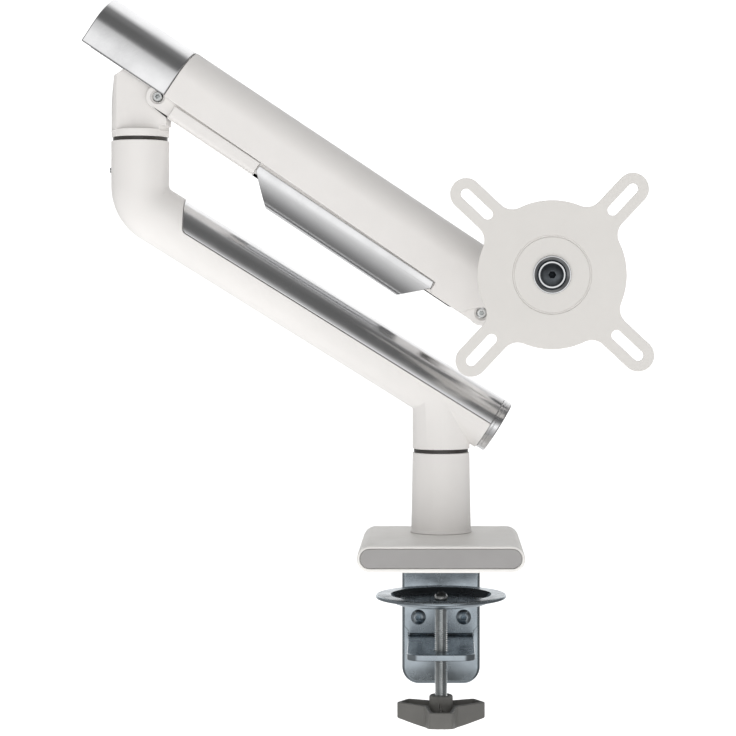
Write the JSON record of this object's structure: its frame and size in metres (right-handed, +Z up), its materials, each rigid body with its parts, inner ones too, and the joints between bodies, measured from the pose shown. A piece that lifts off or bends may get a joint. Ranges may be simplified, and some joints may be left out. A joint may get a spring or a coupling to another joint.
{
  "type": "monitor arm",
  "caption": "Desk-clamped monitor arm: post, swivelling lower arm, gas-spring parallelogram upper arm and a tilting, rotating VESA head.",
  "frame": {"origin": "centre of the base's desk face, under the post axis", "axes": "+Z up along the post, +X from the post towards the head at rest, -Y towards the user"},
  "size_m": [0.353, 0.115, 0.4547],
  "materials": {
    "white_paint": "white powder coat, satin, fine orange peel",
    "base_plastic": "warm light grey moulded plastic, fine texture",
    "grey_insert": "mid grey moulded plastic, matt",
    "vesa_paint": "warm light grey powder coat on pressed steel",
    "brushed_aluminium": "polished aluminium with drawn lines along its length",
    "zinc_plate": "blue zinc plating on pressed steel",
    "bright_zinc": "bright zinc plating",
    "chrome": "bright plating",
    "dark_steel": "blackened steel",
    "knob_plastic": "dark grey glass-filled plastic",
    "black_polymer": "dark acetal",
    "pad_rubber": "matt foam rubber",
    "cast_iron": "as cast",
    "spring_black": "black paint, satin"
  },
  "bodies": {
    "root": {"base_cover": "base_plastic", "base_front_insert": "grey_insert", "base_plate": "cast_iron", "desk_pad": "pad_rubber", "clamp_bracket": "zinc_plate", "bracket_screw_1": "zinc_plate", "bracket_screw_2": "zinc_plate", "bracket_screw_3": "zinc_plate", "bracket_screw_4": "zinc_plate", "lower_jaw": "zinc_plate", "jaw_screw_1": "zinc_plate", "jaw_screw_2": "zinc_plate", "jaw_nut_1": "zinc_plate", "jaw_nut_2": "zinc_plate", "post_tube": "white_paint", "base_spindle": "bright_zinc", "post_bolt": "dark_steel", "spindle_washer": "bright_zinc", "spindle_screw": "bright_zinc"},
    "pressure_disc": {"pressure_disc": "zinc_plate"},
    "clamp_screw": {"clamp_screw": "bright_zinc", "knob": "knob_plastic"},
    "lower_arm": {"lower_arm": "white_paint", "lower_arm_cable_cover": "brushed_aluminium", "lower_arm_end_cap": "brushed_aluminium", "base_bushing": "black_polymer", "elbow_bushing": "black_polymer", "elbow_grub_screw": "bright_zinc"},
    "elbow_knuckle": {"elbow_knuckle": "white_paint", "knuckle_spindle": "bright_zinc", "arm_pivot_pin": "bright_zinc", "link_pivot_pin": "bright_zinc", "spring_anchor_pin": "bright_zinc", "tension_block": "dark_steel", "tension_screw": "dark_steel"},
    "upper_arm": {"upper_arm_shell": "white_paint", "rear_sleeve": "brushed_aluminium", "rear_end_cap": "white_paint", "gas_spring_cylinder": "spring_black", "gas_spring_rear_pin": "bright_zinc"},
    "gas_rod": {"gas_spring_rod": "chrome"},
    "lower_link": {"lower_link": "white_paint", "under_arm_cable_cover": "brushed_aluminium"},
    "head_block": {"head_block": "white_paint", "head_arm_pin": "bright_zinc", "head_link_pin": "bright_zinc", "head_bushing": "black_polymer"},
    "head_yoke": {"head_yoke": "white_paint", "head_spindle": "dark_steel", "head_spindle_nut": "dark_steel", "tilt_bolt": "dark_steel", "tilt_nut": "dark_steel", "tilt_washer_1": "black_polymer", "tilt_washer_2": "black_polymer"},
    "tilt_block": {"tilt_block": "white_paint", "centre_bolt": "dark_steel", "rotation_washer": "black_polymer"},
    "vesa_plate": {"vesa_plate": "vesa_paint", "vesa_bushing": "chrome"}
  },
  "joints": [
    {"name": "clamp_travel", "type": "slide", "parent": "root", "child": "pressure_disc", "axis": [0, 0, 1], "range_m": [-0.0285, 0.015]},
    {"name": "clamp_screw_turn", "type": "hinge", "parent": "pressure_disc", "child": "clamp_screw", "pos_m": [0, -0.034, -0.084], "axis": [0, 0, 1], "range_deg": [-8210, 4321]},
    {"name": "base_swivel", "type": "hinge", "parent": "root", "child": "lower_arm", "pos_m": [0, 0, 0.0697], "axis": [0, 0, 1], "range_deg": [-180, 180]},
    {"name": "elbow_swivel", "type": "hinge", "parent": "lower_arm", "child": "elbow_knuckle", "pos_m": [-0.1907, 0, 0.2667], "axis": [0, 0, 1], "range_deg": [-180, 180]},
    {"name": "arm_lift", "type": "hinge", "parent": "elbow_knuckle", "child": "upper_arm", "pos_m": [-0.1777, 0, 0.3147], "axis": [0, -1, 0], "range_deg": [0, 60]},
    {"name": "spring_stroke", "type": "slide", "parent": "upper_arm", "child": "gas_rod", "axis": [0.8316, 0, -0.5554], "range_m": [-0.012, 0]},
    {"name": "link_lift", "type": "hinge", "parent": "elbow_knuckle", "child": "lower_link", "pos_m": [-0.1777, 0, 0.2912], "axis": [0, -1, 0], "range_deg": [0, 60]},
    {"name": "head_level", "type": "hinge", "parent": "upper_arm", "child": "head_block", "pos_m": [0.02545, 0, 0.17901], "axis": [0, -1, 0], "range_deg": [-60, 0]},
    {"name": "head_swivel", "type": "hinge", "parent": "head_block", "child": "head_yoke", "pos_m": [0.0666, 0, 0.1692], "axis": [0, 0, 1], "range_deg": [0, 180]},
    {"name": "head_tilt", "type": "hinge", "parent": "head_yoke", "child": "tilt_block", "pos_m": [0.0666, -0.028, 0.1787], "axis": [-1, 0, 0], "range_deg": [-35, 80]},
    {"name": "plate_rotate", "type": "hinge", "parent": "tilt_block", "child": "vesa_plate", "pos_m": [0.0666, -0.0745, 0.1787], "axis": [0, 1, 0], "range_deg": [-180, 180]}
  ],
  "couplings": [
    {"joint": "clamp_screw_turn", "follows": "clamp_travel", "rad_per_m": 5026.5},
    {"joint": "spring_stroke", "follows": "arm_lift", "m_per_rad": -0.01137},
    {"joint": "link_lift", "follows": "arm_lift", "ratio": 1},
    {"joint": "head_level", "follows": "arm_lift", "ratio": -1}
  ]
}
